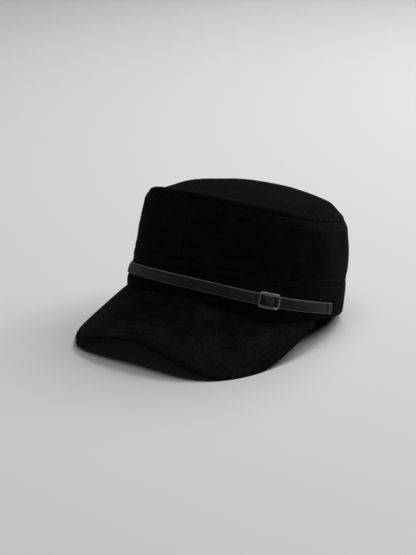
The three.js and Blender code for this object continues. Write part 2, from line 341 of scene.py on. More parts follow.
def curve_through(knots, at):
    """A smooth curve through the knots (position, value), positions falling or rising."""
    place_of = np.array([k[0] for k in knots], float)
    value = np.array([k[1] for k in knots], float)
    if place_of[0] > place_of[-1]:
        place_of, value = place_of[::-1], value[::-1]
    slope = np.gradient(value, place_of)
    index = np.clip(np.searchsorted(place_of, at) - 1, 0, len(knots) - 2)
    span = place_of[index + 1] - place_of[index]
    share = np.clip((at - place_of[index]) / span, 0, 1)
    a = 2 * share ** 3 - 3 * share ** 2 + 1
    b = share ** 3 - 2 * share ** 2 + share
    c = 3 * share ** 2 - 2 * share ** 3
    d = share ** 3 - share ** 2
    return a * value[index] + b * span * slope[index] + c * value[index + 1] + d * span * slope[index + 1]


def grid_normals(points, closed_across):
    """Unit normals of a grid of points, whose columns may close on themselves."""
    down = np.gradient(points, axis=0)
    if closed_across:
        across = (np.roll(points, -1, axis=1) - np.roll(points, 1, axis=1)) / 2
    else:
        across = np.gradient(points, axis=1)
    normal = np.cross(across, down)
    length = np.linalg.norm(normal, axis=-1, keepdims=True)
    return normal / np.maximum(length, 1e-9)


def mesh_object(name, vertices, faces, smooth_shading=True):
    mesh = bpy.data.meshes.new(name)
    mesh.from_pydata([tuple(v) for v in vertices], [], [tuple(f) for f in faces])
    mesh.validate()
    mesh.polygons.foreach_set("use_smooth", [smooth_shading] * len(mesh.polygons))
    obj = bpy.data.objects.new(name, mesh)
    bpy.context.scene.collection.objects.link(obj)
    return obj


def grid_faces(rows, columns, closed_down, closed_across):
    row = np.arange(rows if closed_down else rows - 1)
    column = np.arange(columns if closed_across else columns - 1)
    row, column = np.meshgrid(row, column, indexing="ij")
    below = (row + 1) % rows
    right = (column + 1) % columns
    a = row * columns + column
    b = below * columns + column
    c = below * columns + right
    d = row * columns + right
    return np.stack([a, b, c, d], -1).reshape(-1, 4).tolist()


def shell_object(name, grid, closed_across, caps=False):
    """A closed shell from a grid whose rows run all the way round its section."""
    rows, columns = grid.shape[:2]
    faces = grid_faces(rows, columns, True, closed_across)
    if caps:
        faces.append([row * columns for row in range(rows)])
        faces.append([row * columns + columns - 1 for row in range(rows)][::-1])
    obj = mesh_object(name, place(grid).reshape(-1, 3), faces)
    return outward(obj)


def outward(obj):
    """Turns the faces outwards where the solid is inside out."""
    mesh = obj.data
    mesh.calc_loop_triangles()
    points = np.array([v.co for v in mesh.vertices])
    triangles = np.array([t.vertices for t in mesh.loop_triangles])
    a, b, c = points[triangles[:, 0]], points[triangles[:, 1]], points[triangles[:, 2]]
    if (a * np.cross(b, c)).sum() < 0:
        mesh.flip_normals()
    return obj


def join(name, objects):
    bpy.ops.object.select_all(action="DESELECT")
    for obj in objects:
        obj.select_set(True)
    bpy.context.view_layer.objects.active = objects[0]
    bpy.ops.object.join()
    objects[0].name = name
    objects[0].data.name = name
    return objects[0]


def stitch_row(name, path, normals, closed=False, seed=1, lift=0.1):
    """A row of stitches along a path on a surface, each a thread that dips in at its ends."""
    if closed:
        path = np.concatenate([path, path[:1]])
        normals = np.concatenate([normals, normals[:1]])
    step = np.linalg.norm(np.diff(path, axis=0), axis=1)
    along = np.concatenate([[0], np.cumsum(step)])
    count = int(along[-1] / STITCH_PITCH)
    pitch = along[-1] / count
    random = np.random.default_rng(seed)
    starts = (np.arange(count) + 0.5) * pitch - STITCH_LENGTH / 2 + random.normal(0, 0.07, count)
    shares, heights, radii = np.array(STITCH_PROFILE).T
    heights = lift + THREAD_RADIUS * heights
    radii = THREAD_RADIUS * radii
    sides = 6
    at = starts[:, None] + shares[None, :] * STITCH_LENGTH
    middle = np.stack([np.interp(at, along, path[:, i]) for i in range(3)], -1)
    up = np.stack([np.interp(at, along, normals[:, i]) for i in range(3)], -1)
    up = unit(up)
    forward = unit(np.gradient(middle, axis=1))
    side = unit(np.cross(forward, up))
    sway = random.normal(0, 0.05, (count, 1, 1)) * side
    middle = middle + up * heights[None, :, None] + sway
    turn = np.arange(sides) / sides * 2 * math.pi
    ring = (np.cos(turn)[None, None, :, None] * side[:, :, None, :]
            + np.sin(turn)[None, None, :, None] * up[:, :, None, :])
    points = middle[:, :, None, :] + ring * radii[None, :, None, None]
    vertices = place(points).reshape(-1, 3)
    one = np.array(grid_faces(len(shares), sides, False, True))
    last_ring = (len(shares) - 1) * sides
    start_cap = list(range(sides))[::-1]
    end_cap = list(range(last_ring, last_ring + sides))
    faces = []
    for stitch in range(count):
        first = stitch * len(shares) * sides
        faces.extend((one + first).tolist())
        faces.append([first + i for i in start_cap])
        faces.append([first + i for i in end_cap])
    return mesh_object(name, vertices, faces)


def dent_at(angle, z):
    """The soft dents, which die out at the band's seam and at the rim of the top."""
    over_seam = smooth(z - band_height(angle), 0, 10)
    under_rim = smooth(crown_height(angle) - z, 0, 10)
    degrees = np.degrees(turned(angle))
    depth = 0.0
    for middle, height, spread, spread_height, deep in DENTS:
        across = (degrees - middle) / spread
        up = (z - height) / spread_height
        depth = depth + deep * np.exp(-across ** 2 - up ** 2)
    return depth * over_seam * under_rim


def front_share(angle):
    """1 over the front of the cap, 0 from its sides backwards."""
    return 1 - smooth(np.abs(turned(angle)), math.radians(35), math.radians(95))


def soft_rim(angle):
    """1 in the middle of the softer stretch of rim, 0 far from it."""
    return bell(np.degrees(turned(angle)), SOFT_RIM_AT, SOFT_RIM_SPREAD)


def rim_lean(angle):
    """How far the wall's top leans in at the seam of the top panel."""
    return 0.7 + 1.2 * (1 - front_share(angle)) + SOFT_RIM_LEAN * soft_rim(angle)


def lean_at(angle, under_rim):
    """How far the wall leans in at a depth under the seam of the top panel."""
    return rim_lean(angle) * np.clip(1 - under_rim / LEAN_DEPTH, 0, 1) ** 2


def tuck_at(over_seam):
    """How far the wall's foot steps in behind the headband, as an offset."""
    return -TUCK_IN * (1 - smooth(over_seam, -0.6, 0.8))


def rim_row(angle):
    """How far the side's stitch row lies under the top panel's seam."""
    return 5.9 + 0.7 * np.sin(np.abs(angle)) ** 2


def band_row(angle):
    """How far the stitch rows lie from the band's seam."""
    return 2.8 + 1.9 * front_share(angle)


def crown_relief(angle, z, points):
    """The side panel's height over its plain surface: seams, rows, puckers and soft dents."""
    to_middle = np.abs(points[..., 0])
    under_rim = crown_height(angle) - z
    over_band = z - band_height(angle)
    row_rim = rim_row(angle)
    row_band = band_row(angle)
    relief = -dent_at(angle, z)
    allowance = np.maximum.reduce([
        1 - smooth(to_middle, FRONT_ROW + 0.6, FRONT_ROW + 2.2),
        1 - smooth(under_rim, row_rim + 0.6, row_rim + 2.2),
        1 - smooth(over_band, row_band + 0.6, row_band + 2.2),
    ])
    relief = relief + 0.45 * allowance
    relief = relief + groove(under_rim, depth=0.2, width=0.5)
    relief = relief + groove(to_middle, depth=0.55, width=0.8)
    relief = relief + groove(to_middle - FRONT_ROW, depth=0.28, width=0.75)
    relief = relief + groove(under_rim - row_rim, depth=0.3, width=0.8)
    relief = relief + groove(over_band - row_band, depth=0.3, width=0.8)
    around_cap = angle * ROUND_RADIUS
    relief = relief + 0.13 * ripples(around_cap, length=11, seed=3) * bell(under_rim, row_rim, 5)
    relief = relief + 0.13 * ripples(around_cap, length=10, seed=4) * bell(over_band, row_band, 5)
    relief = relief + 0.12 * ripples(z + 0 * angle, length=9, seed=5) * bell(to_middle, FRONT_ROW, 4)
    inner_share = smooth(under_rim, 2, 12) * smooth(over_band, 2, 12)
    relief = relief + 0.35 * waves(points, length=38, seed=6) * inner_share
    relief = relief + 0.12 * waves(points, length=14, seed=7)
    return relief


def crown_side(name, side):
    sweep = np.linspace(0, math.pi, CROWN_COLUMNS)
    angle = (side * sweep)[None, :]
    seam = band_height(angle)
    top = crown_height(angle) - RIM_CLEARANCE
    foot = np.array([-TUCK_DEPTH, -4.0, -1.5, -0.9, -0.5, -0.1, 0.3, 0.7, 1.1])[:, None]
    rise = np.linspace(0, 1, 86)[1:, None]
    z_outer = np.concatenate([seam + foot, seam + 1.1 + (top - seam - 1.1) * rise])
    shift = tuck_at(z_outer - seam) - lean_at(angle, top - z_outer)
    plain = wall(angle + 0 * z_outer, z_outer, shift)
    relief = crown_relief(angle + 0 * z_outer, z_outer, plain)
    relief = relief * smooth(z_outer - seam, -0.5, 0.7)
    normal = grid_normals(plain, False)
    normal *= np.sign((normal[30, CROWN_COLUMNS // 2] @ np.array([side, 0, 0])))
    outer = plain + normal * relief[..., None]
    roll = np.array([(0.0, -0.45), (0.15, -1.0), (0.0, -1.6)])
    z_roll = top + roll[:, :1] - 0.1
    rolled = wall(angle + 0 * z_roll, z_roll, roll[:, 1:] - rim_lean(angle) + 0 * z_roll)
    z_inner = np.linspace(1, 0, 22)[:, None]
    z_inner = seam - TUCK_DEPTH + (top - 1.0 - seam + TUCK_DEPTH) * z_inner
    shift = tuck_at(z_inner - seam) - lean_at(angle, top - z_inner)
    inner = wall(angle + 0 * z_inner, z_inner, shift - CLOTH)
    grid = np.concatenate([outer, rolled, inner])
    grid[..., 0] = side * np.maximum(side * grid[..., 0], 0.04)
    obj = shell_object(name, grid, False, caps=True)
    set_relief(obj, relief + dent_at(angle + 0 * z_outer, z_outer))
    return obj


def set_attribute(obj, name, values):
    attribute = obj.data.attributes.new(name, "FLOAT", "POINT")
    attribute.data.foreach_set("value", np.asarray(values, float).ravel().astype(np.float32))


def set_relief(obj, relief):
    """Stores the relief of the outer face, by which the cloth is tinted lighter where raised and darker in
    grooves, as painted highlight and painted shade, and 0 elsewhere.
    """
    elsewhere = np.zeros(len(obj.data.vertices) - relief.size)
    set_attribute(obj, "relief", np.concatenate([relief.ravel(), elsewhere]))


def crown_surface_rows(angle, z):
    """Points and normals on the outer face of the side panels, for the stitch rows."""
    lean = lean_at(angle, crown_height(angle) - RIM_CLEARANCE - z)
    plain = wall(angle, z, -lean)
    relief = crown_relief(angle, z, plain)
    ahead = wall(angle + ANGLE_STEP, z, -lean) - wall(angle - ANGLE_STEP, z, -lean)
    over = wall(angle, z + 0.5, -lean) - wall(angle, z - 0.5, -lean)
    normal = unit(np.cross(ahead, over))
    return plain + normal * relief[..., None], normal


def top_rise(angle, radius):
    """How high the top panel stands over the plane of its seam."""
    edge = curve_through(TOP_EDGE + TOP_DOME, radius)
    low = curve_through(TOP_EDGE_LOW + TOP_DOME, radius)
    share = front_share(angle)
    soft = soft_rim(angle) * smooth(1 - radius, 0.0, 0.03) * (1 - smooth(1 - radius, 0.06, 0.2))
    lean = TOP_LEAN * radius * np.cos(angle - TOP_LEAN_ANGLE) * smooth(1 - radius, 0.02, 0.16)
    return edge * share + low * (1 - share) + lean - SOFT_RIM_DROP * soft


def top_plain(angle, radius, drop=0.0):
    rim = wall(angle, crown_height(angle), -rim_lean(angle))
    middle = -TOP_SHIFT_FORWARD
    height = around(angle, CROWN_HEIGHT_FRONT, CROWN_HEIGHT_BACK, CROWN_SIDE_DROP, radius)
    z = height + top_rise(angle, radius) - drop
    return np.stack([rim[..., 0] * radius, middle + (rim[..., 1] - middle) * radius, z + 0 * angle], -1)


def top_row(angle):
    """The radius of the top panel's stitch row, nearer the seam at the sides."""
    return 0.982 - 0.038 * front_share(angle)


def top_relief(angle, radius, points):
    """The top panel's height over its plain surface: seam, row, puckers and soft waves."""
    inwards = (1 - radius) * TOP_RADIUS
    row = (1 - top_row(angle)) * TOP_RADIUS
    relief = 0.4 * (1 - smooth(inwards, row + 0.5, row + 2.0))
    relief = relief + groove(inwards - row, depth=0.32, width=0.75)
    relief = relief + groove(inwards, depth=0.15, width=0.5)
    pucker = 0.12 + 0.12 * bell(np.degrees(turned(angle)), PUCKER_AT, PUCKER_SPREAD)
    pucker = pucker * ripples(angle * ROUND_RADIUS, length=12, seed=11)
    relief = relief + pucker * bell(inwards - row, 1, 5)
    relief = relief + 0.55 * waves(points, length=42, seed=12) * smooth(inwards, 2, 16)
    relief = relief + 0.14 * waves(points, length=15, seed=13)
    return relief


def crown_top(name):
    angle = (np.arange(TOP_COLUMNS) / TOP_COLUMNS * 2 * math.pi)[None, :]
    near = 1 - 0.14 * np.linspace(0, 1, 34) ** 1.25
    far = np.linspace(0.86, 0.012, 62)[1:]
    radius = np.concatenate([near, far])[:, None] + 0 * angle
    angles = angle + 0 * radius
    plain = top_plain(angles, radius)
    normal = grid_normals(plain, True)
    normal *= np.sign(normal[-10, 0, 2])
    relief = top_relief(angles, radius, plain)
    outer = plain + normal * relief[..., None]
    under_radius = np.concatenate([[0.012], np.linspace(0.05, 0.978, 22)])[:, None] + 0 * angle
    under = top_plain(angle + 0 * under_radius, under_radius, CLOTH)
    grid = np.concatenate([outer, under])
    rows, columns = grid.shape[:2]
    faces = grid_faces(rows, columns, True, True)
    split = len(outer)
    faces = [f for f in faces if not (f[0] // columns == split - 1)]
    vertices = place(grid).reshape(-1, 3)
    over_middle = outer[-1].mean(0)
    under_middle = under[0].mean(0)
    vertices = np.concatenate([vertices, place(np.stack([over_middle, under_middle]))])
    first = len(vertices) - 2
    for column in range(columns):
        right = (column + 1) % columns
        faces.append([(split - 1) * columns + column, first, (split - 1) * columns + right])
        faces.append([split * columns + right, first + 1, split * columns + column])
    obj = outward(mesh_object(name, vertices, faces))
    set_relief(obj, relief)
    return obj


def top_surface(angle, radius):
    plain = top_plain(angle, radius)
    ahead = top_plain(angle + ANGLE_STEP, radius) - top_plain(angle - ANGLE_STEP, radius)
    inwards = top_plain(angle, radius - 0.004) - top_plain(angle, radius + 0.004)
    normal = unit(np.cross(ahead, inwards))
    return plain + normal * top_relief(angle, radius, plain)[..., None], normal


# Peak surface, in the cap's upright frame; forward is -y
def find_angle(value):
    low, high = 0.0, math.pi
    for _ in range(50):
        middle = (low + high) / 2
        if value(middle) > 0:
            low = middle
        else:
            high = middle
    return low


BAND_FRONT = -float(wall(0.0, 0.0, BAND_PROUD)[1])
PEAK_END_ANGLE = find_angle(lambda a: -float(wall(a, 0.0, BAND_PROUD)[1]) - PEAK_END)
PEAK_END_HALF_WIDTH = float(wall(PEAK_END_ANGLE, 0.0, BAND_PROUD)[0])


def peak_slab(x, forward):
    return PEAK_ROOT_HEIGHT - x ** 2 / (2 * PEAK_BEND_RADIUS) - PEAK_SLOPE * (forward - BAND_FRONT)


PEAK_END_DROP = peak_slab(PEAK_END_HALF_WIDTH, PEAK_END)


def peak_end_share(forward):
    return np.maximum(0, 1 - (forward - PEAK_END) / PEAK_END_LENGTH)


def peak_top(x, forward):
    return peak_slab(x, forward) - PEAK_END_DROP * peak_end_share(forward) ** 2


def peak_outline(sweep, inset=0.0):
    """The peak's edge in plan, as x and forward."""
    inset = inset + PEAK_BLUNT * bell(np.degrees(sweep), PEAK_BLUNT_AT, PEAK_BLUNT_SPREAD)
    forward = PEAK_END + (PEAK_TIP - PEAK_END - inset) * power(np.cos(sweep), 2 / PEAK_EXPONENT)
    end_width = PEAK_END_HALF_WIDTH + PEAK_END_WIDTH
    run_in = (PEAK_HALF_WIDTH - end_width) * peak_end_share(forward) ** PEAK_RUN_IN
    x = (PEAK_HALF_WIDTH - inset - run_in) * power(np.sin(sweep), 2 / PEAK_EXPONENT)
    return np.stack([x, forward], -1)


def even_sweep(count):
    """Sweep angles that step evenly along the peak's edge."""
    fine = np.linspace(-math.pi / 2, math.pi / 2, 4001)
    step = np.linalg.norm(np.diff(peak_outline(fine), axis=0), axis=1)
    along = np.concatenate([[0], np.cumsum(step)])
    return np.interp(np.linspace(0, along[-1], count), along, fine)


PEAK_EDGE = peak_outline(even_sweep(700))


def distance_from_edge(x, forward):
    """Distance in plan from the peak's edge."""
    flat = np.stack([np.ravel(x), np.ravel(forward)], -1)
    result = np.empty(len(flat))
    start, end = PEAK_EDGE[:-1], PEAK_EDGE[1:]
    along = end - start
    square = (along ** 2).sum(1)
    for first in range(0, len(flat), 4000):
        part = flat[first:first + 4000, None, :] - start[None]
        share = np.clip((part * along).sum(-1) / square, 0, 1)
        gap = part - share[..., None] * along
        result[first:first + 4000] = np.sqrt((gap ** 2).sum(-1).min(1))
    return result.reshape(np.shape(x))


def peak_relief(points, inset):
    """The peak's height over its plain surface: rows, edge, puckers and soft waves."""
    relief = 0.0 * inset
    for row in PEAK_ROWS:
        relief = relief + groove(inset - row, depth=0.34, width=0.85)
    relief = relief + 0.22 * smooth(inset, 5.5, 7.5) * (1 - smooth(inset, 17.5, 20))
    relief = relief + groove(inset - 2.0, depth=0.2, width=0.6)
    relief = relief + 0.16 * waves(points, length=11, seed=21) * bell(inset, 12, 10)
    relief = relief + 0.35 * waves(points, length=40, seed=22) * smooth(inset, 4, 20)
    relief = relief + 0.10 * waves(points, length=16, seed=23)
    return relief


def peak_surface(plan):
    """The peak's plain upper face over points in plan."""
    return np.stack([plan[..., 0], -plan[..., 1], peak_top(plan[..., 0], plan[..., 1])], -1)


def peak(name):
    sweep = even_sweep(PEAK_RIBS)
    inside = BAND_PROUD - BAND_THICKNESS
    root_point = wall(sweep / (math.pi / 2) * PEAK_END_ANGLE, 0 * sweep, inside)
    root = np.stack([root_point[:, 0], -root_point[:, 1]], -1)
    half = PEAK_THICKNESS / 2
    face = peak_outline(sweep, half)
    along = 1 - (1 - np.linspace(0, 1, 74)) ** 1.15
    along = along[:, None, None]
    plan = root[None] + (face[None] - root[None]) * along
    upper = peak_surface(plan)
    inset = distance_from_edge(plan[..., 0], plan[..., 1])
    relief = peak_relief(upper, inset)
    normal = grid_normals(upper, False)
    normal *= np.sign(normal[20, PEAK_RIBS // 2, 2])
    top = upper + normal * relief[..., None]
    turn = np.linspace(0, math.pi, 11)[1:-1]
    edge = peak_outline(sweep, 0.0)
    outwards = edge - face
    nose = []
    for t in turn:
        spot = face + outwards * math.sin(t)
        z = peak_top(spot[:, 0], spot[:, 1]) - half + half * math.cos(t)
        nose.append(np.stack([spot[:, 0], -spot[:, 1], z], -1))
    along = np.linspace(1, 0, 34)[:, None, None]
    plan = root[None] + (face[None] - root[None]) * along
    lower = peak_surface(plan)
    lower[..., 2] -= PEAK_THICKNESS
    grid = press_on_table(np.concatenate([top, np.array(nose), lower]))
    obj = shell_object(name, grid, False, caps=True)
    set_relief(obj, relief)
    return obj


def peak_row(inset):
    """Path and normals of a stitch row at a constant distance from the peak's edge."""
    edge = PEAK_EDGE
    along = np.gradient(edge, axis=0)
    inwards = unit(np.stack([along[:, 1], -along[:, 0]], -1))
    inwards *= np.sign(inwards[len(edge) // 2, 1]) * -1
    plan = edge + inwards * inset
    keep = distance_from_edge(plan[:, 0], plan[:, 1]) > inset - 0.05
    x, forward = plan[:, 0], plan[:, 1]
    spread = np.linspace(-PEAK_END_ANGLE - 0.2, PEAK_END_ANGLE + 0.2, 400)
    band = wall(spread, 0 * spread + 5, BAND_PROUD)
    order = np.argsort(band[:, 0])
    band_forward = np.interp(x, band[order, 0], -band[order, 1], left=-50, right=-50)
    keep &= forward > band_forward + 1.5
    plan = plan[keep]
    x, forward = plan[:, 0], plan[:, 1]
    base = np.stack([x, -forward, peak_top(x, forward)], -1)
    slope_x = (peak_top(x + 0.5, forward) - peak_top(x - 0.5, forward))
    slope_f = (peak_top(x, forward + 0.5) - peak_top(x, forward - 0.5))
    normal = unit(np.stack([-slope_x, slope_f, 1 + 0 * x], -1))
    relief = peak_relief(base, np.full(len(x), float(inset)))
    return press_on_table(base + normal * relief[:, None]), normal


# Headband
PEAK_SEAT_ANGLE = PEAK_END_ANGLE + 3 * GAP / HALF_WIDTH


def band_foot(angle, offset):
    """How high the headband's foot is: on the rim's plane, and on the peak in front."""
    point = wall(angle, 0 * angle, offset)
    over_peak = peak_top(point[..., 0], -point[..., 1]) + 0.1
    return np.where(np.abs(turned(angle)) > PEAK_SEAT_ANGLE, 0.0, over_peak)


def band_relief(angle, z, points):
    """The headband's height over its plain surface: row, puckers and soft waves."""
    under_seam = band_height(angle) - z
    row = band_row(angle)
    relief = 0.35 * (1 - smooth(under_seam, row + 0.6, row + 2.2))
    relief = relief + groove(under_seam - row, depth=0.3, width=0.8)
    pucker = 0.13 * ripples(angle * ROUND_RADIUS, length=10, seed=31)
    relief = relief + pucker * bell(under_seam, row, 5)
    relief = relief + 0.22 * waves(points, length=30, seed=32) * smooth(under_seam, 2, 10)
    relief = relief + 0.10 * waves(points, length=13, seed=33)
    return relief


def headband(name):
    angle = (np.arange(BAND_COLUMNS) / BAND_COLUMNS * 2 * math.pi)[None, :]
    top = band_height(angle)
    inside = BAND_PROUD - BAND_THICKNESS
    foot_out = band_foot(angle, BAND_PROUD + 0 * angle) + 1.0
    rise = np.linspace(0, 1, 56)[:, None]
    z_outer = foot_out + (top - 0.5 - foot_out) * rise
    plain = wall(angle + 0 * z_outer, z_outer, band_proud(angle, z_outer))
    relief = band_relief(angle + 0 * z_outer, z_outer, plain)
    normal = grid_normals(plain, True)
    normal *= np.sign(normal[20, 0] @ np.array([0, -1, 0]))
    outer = plain + normal * relief[..., None]
    lip = []
    for drop, offset in ((0.15, BAND_FLUSH + 0.2), (0.0, BAND_FLUSH - 0.2), (0.0, inside)):
        lip.append(wall(angle, top - drop, offset)[0])
    foot_in = band_foot(angle, inside + 0 * angle) + 0.8
    z_inner = foot_in + (top - 1.0 - foot_in) * np.linspace(1, 0, 10)[:, None]
    inner = wall(angle + 0 * z_inner, z_inner, inside)
    hem = []
    for share, drop in ((0.2, 0.25), (0.5, 0.0), (0.8, 0.25)):
        offset = inside + (BAND_PROUD - inside) * share
        z = band_foot(angle, offset + 0 * angle) + drop
        hem.append(wall(angle, z, offset)[0])
    grid = press_on_table(np.concatenate([outer, np.array(lip), inner, np.array(hem)]))
    obj = shell_object(name, grid, True)
    set_relief(obj, relief)
    return obj


def band_surface(angle, z):
    proud = band_proud(angle, z)
    plain = wall(angle, z, proud)
    ahead = wall(angle + ANGLE_STEP, z, proud) - wall(angle - ANGLE_STEP, z, proud)
    over = wall(angle, z + 0.5, proud) - wall(angle, z - 0.5, proud)
    normal = unit(np.cross(ahead, over))
    return plain + normal * band_relief(angle, z, plain)[..., None], normal


# Strap and buckle
def strap_height(angle):
    share = np.minimum(np.abs(angle) / STRAP_END_ANGLE, 1)
    dip = -STRAP_DIP * bell(angle, BUCKLE_ANGLE, 0.5)
    rise = STRAP_END_RISE * smooth(angle, 1.15, STRAP_END_ANGLE)
    return STRAP_HEIGHT_FRONT + (STRAP_HEIGHT_END - STRAP_HEIGHT_FRONT) * share ** 2 + dip + rise


def strap_point(angle, up, offset):
    return wall(angle, strap_height(angle) + up, BAND_PROUD + offset)


BUCKLE_INSIDE = GAP + STRAP_THICKNESS + GAP
BUCKLE_MIDDLE = strap_point(BUCKLE_ANGLE, 0.0, BUCKLE_INSIDE)
BUCKLE_ALONG = unit(strap_point(BUCKLE_ANGLE + ANGLE_STEP, 0.0, BUCKLE_INSIDE)
                    - strap_point(BUCKLE_ANGLE - ANGLE_STEP, 0.0, BUCKLE_INSIDE))
BUCKLE_RISE = strap_point(BUCKLE_ANGLE, 1.0, BUCKLE_INSIDE) - strap_point(BUCKLE_ANGLE, -1.0, BUCKLE_INSIDE)
BUCKLE_OUT = unit(np.cross(BUCKLE_ALONG, BUCKLE_RISE))
BUCKLE_UP = np.cross(BUCKLE_OUT, BUCKLE_ALONG)


def strap_lift(distance):
    """How far the strap's back lies off the headband, at a distance along it from
    the buckle's middle: under the end bars and over the middle bar."""
    over_middle = GAP + STRAP_THICKNESS + GAP + BUCKLE_THICKNESS + 0.1
    opening_end = BUCKLE_LENGTH / 2 - BUCKLE_BAR
    share = 1 - smooth(np.abs(distance), BUCKLE_BAR / 2 + GAP, opening_end - GAP)
    return STRAP_SEAT + (over_middle - STRAP_SEAT) * share


def strap_section():
    """The strap's section: how far up from its middle line, how far out of its back, and how near its edge
    from 0 to 1, where a painted highlight runs."""
    half = STRAP_WIDTH / 2
    face = []
    for up in np.linspace(-1, 1, 45):
        at = half * up * 0.965
        edge = half - abs(at)
        crown = 0.16 * (1 - up ** 2)
        crease = -0.3 * math.exp(-((edge - 1.25) / 0.32) ** 2)
        rounding = -0.45 * math.exp(-edge / 0.25)
        face.append((at, STRAP_THICKNESS - 0.12 + crown + crease + rounding, math.exp(-(edge / 0.62) ** 4)))
    side_top = [(half * 0.995, STRAP_THICKNESS * 0.62, 1.0), (half, STRAP_THICKNESS * 0.4, 0.8)]
    bottom = [(half * 0.99, 0.12, 0.3), (half * 0.96, 0.0, 0.0), (0.0, 0.0, 0.0),
              (-half * 0.96, 0.0, 0.0), (-half * 0.99, 0.12, 0.3)]
    side_low = [(-half, STRAP_THICKNESS * 0.4, 0.8), (-half * 0.995, STRAP_THICKNESS * 0.62, 1.0)]
    return np.array(face + side_top + bottom + side_low)


def strap(name):
    reach = BUCKLE_LENGTH / 2 / HALF_WIDTH
    angles = np.concatenate([
        -STRAP_END_ANGLE + STRAP_END_ZONE * np.linspace(0, 1, 44)[:-1] ** 1.5,
        np.linspace(-STRAP_END_ANGLE + STRAP_END_ZONE, BUCKLE_ANGLE - reach, 190)[:-1],
        np.linspace(BUCKLE_ANGLE - reach, BUCKLE_ANGLE + reach, 70)[:-1],
        np.linspace(BUCKLE_ANGLE + reach, STRAP_END_ANGLE - STRAP_END_ZONE, 60)[:-1],
        STRAP_END_ANGLE - STRAP_END_ZONE * np.linspace(1, 0, 44) ** 1.5,
    ])
    section = strap_section()
    middle = strap_point(angles, 0.0, 0.0)
    distance = (middle - BUCKLE_MIDDLE) @ BUCKLE_ALONG
    near_buckle = np.abs(angles - BUCKLE_ANGLE) < 2 * reach
    lift = np.where(near_buckle, strap_lift(distance), STRAP_SEAT)
    to_end = (STRAP_END_ANGLE - np.abs(angles)) * STRAP_RADIUS
    round_off = np.sqrt(np.maximum(STRAP_CORNER ** 2 - (STRAP_CORNER - to_end) ** 2, 0))
    cut = np.where(to_end < STRAP_CORNER, STRAP_CORNER - round_off, 0)
    half = STRAP_WIDTH / 2
    squeeze = (half - cut) / half
    thin = np.where(to_end < 0.8, 0.55 + 0.45 * np.sqrt(np.clip(to_end / 0.8, 0, 1)), 1.0)
    up = section[:, 0][:, None] * squeeze[None, :]
    out = lift[None, :] + section[:, 1][:, None] * thin[None, :]
    near_end = groove(to_end - STRAP_END_CREASE, depth=0.4, width=0.55)
    near_end = near_end + 0.2 * (1 - smooth(to_end, 6.8, 7.6))
    face = (section[:, 1] > 0.7)[:, None]
    out = out + np.where(face, near_end[None, :], 0)
    grid = strap_point(angles[None, :] + 0 * up, up, out)
    obj = shell_object(name, grid, False, caps=True)
    # Painted light: highlights painted along the edges and round the ends, the doubled end piece painted
    # lighter, and painted shade in the crease near each end.
    at_end = np.exp(-(to_end / 0.7) ** 4)
    painted_light = np.maximum(section[:, 2][:, None], at_end[None, :] * (section[:, 1] > 0.3)[:, None])
    painted_light = painted_light + 0.22 * (1 - smooth(to_end, 6.4, 7.6)) - 0.5 * bell(to_end, STRAP_END_CREASE, 0.8)
    set_attribute(obj, "painted_light", painted_light)
    # 1 left of the buckle and lower to its right: the leather's grain fades there, and the strap is painted
    # darker there as painted shade.
    grain_and_painted_shade = 1 - 0.8 * smooth(angles, BUCKLE_ANGLE, BUCKLE_ANGLE + 0.1)
    set_attribute(obj, "grain_and_painted_shade", grain_and_painted_shade[None, :] + 0 * up)
    return obj


def buckle_point(x, y, z):
    x, y, z = np.broadcast_arrays(x, y, z)
    return (BUCKLE_MIDDLE + x[..., None] * BUCKLE_ALONG + y[..., None] * BUCKLE_UP
            + z[..., None] * BUCKLE_OUT)


def buckle(name):
    half_wire = BUCKLE_BAR / 2
    right = BUCKLE_LENGTH / 2 - BUCKLE_SHORTER - half_wire
    top = BUCKLE_HEIGHT / 2 - BUCKLE_LOWER - half_wire
    corner = BUCKLE_CORNER + BUCKLE_ROUNDER - half_wire
    path = []
    for cx, cy, start in ((right - corner, top - corner, 0), (corner - right, top - corner, 90),
                          (corner - right, corner - top, 180), (right - corner, corner - top, 270)):
        for turn in np.radians(np.linspace(start, start + 90, 12)):
            path.append((cx + corner * math.cos(turn), cy + corner * math.sin(turn),
                         math.cos(turn), math.sin(turn)))
    path = np.array(path)
    turns = np.arange(20) / 20 * 2 * math.pi
    across = half_wire * power(np.cos(turns), 0.85)
    height = BUCKLE_THICKNESS / 2 * (1 + power(np.sin(turns), 0.85))
    x = path[None, :, 0] + across[:, None] * path[None, :, 2]
    y = path[None, :, 1] + across[:, None] * path[None, :, 3]
    grid = buckle_point(x, y, height[:, None] + 0 * x)
    rim = shell_object(name + "_frame", grid, True)
    across = half_wire * np.cos(turns)
    height = BUCKLE_THICKNESS / 2 + (BUCKLE_THICKNESS / 2 - 0.1) * np.sin(turns)
    length = np.linspace(-top, top, 12)[None, :]
    grid = buckle_point(across[:, None], length, height[:, None])
    bar = shell_object(name + "_bar", grid, False, caps=True)
    return join(name, [rim, bar])


ROOT = list(frame["bodies"])[0]


# Materials
def new_material(name):
    material = bpy.data.materials.new(name)
    material.use_nodes = True
    nodes = material.node_tree.nodes
    links = material.node_tree.links
    return material, nodes, links, nodes["Principled BSDF"]


def noise_node(nodes, links, vector, scale, detail=3.0, roughness=0.55, distortion=0.0):
    node = nodes.new("ShaderNodeTexNoise")
    node.inputs["Scale"].default_value = scale
    node.inputs["Detail"].default_value = detail
    node.inputs["Roughness"].default_value = roughness
    node.inputs["Distortion"].default_value = distortion
    links.new(vector, node.inputs["Vector"])
    return node.outputs["Fac"]


def ramp_node(nodes, links, value, stops):
    node = nodes.new("ShaderNodeValToRGB")
    ramp = node.color_ramp
    while len(ramp.elements) < len(stops):
        ramp.elements.new(0.5)
    for element, (position, colour) in zip(ramp.elements, stops):
        element.position = position
        element.color = (*colour, 1.0)
    links.new(value, node.inputs["Fac"])
    return node.outputs["Color"]


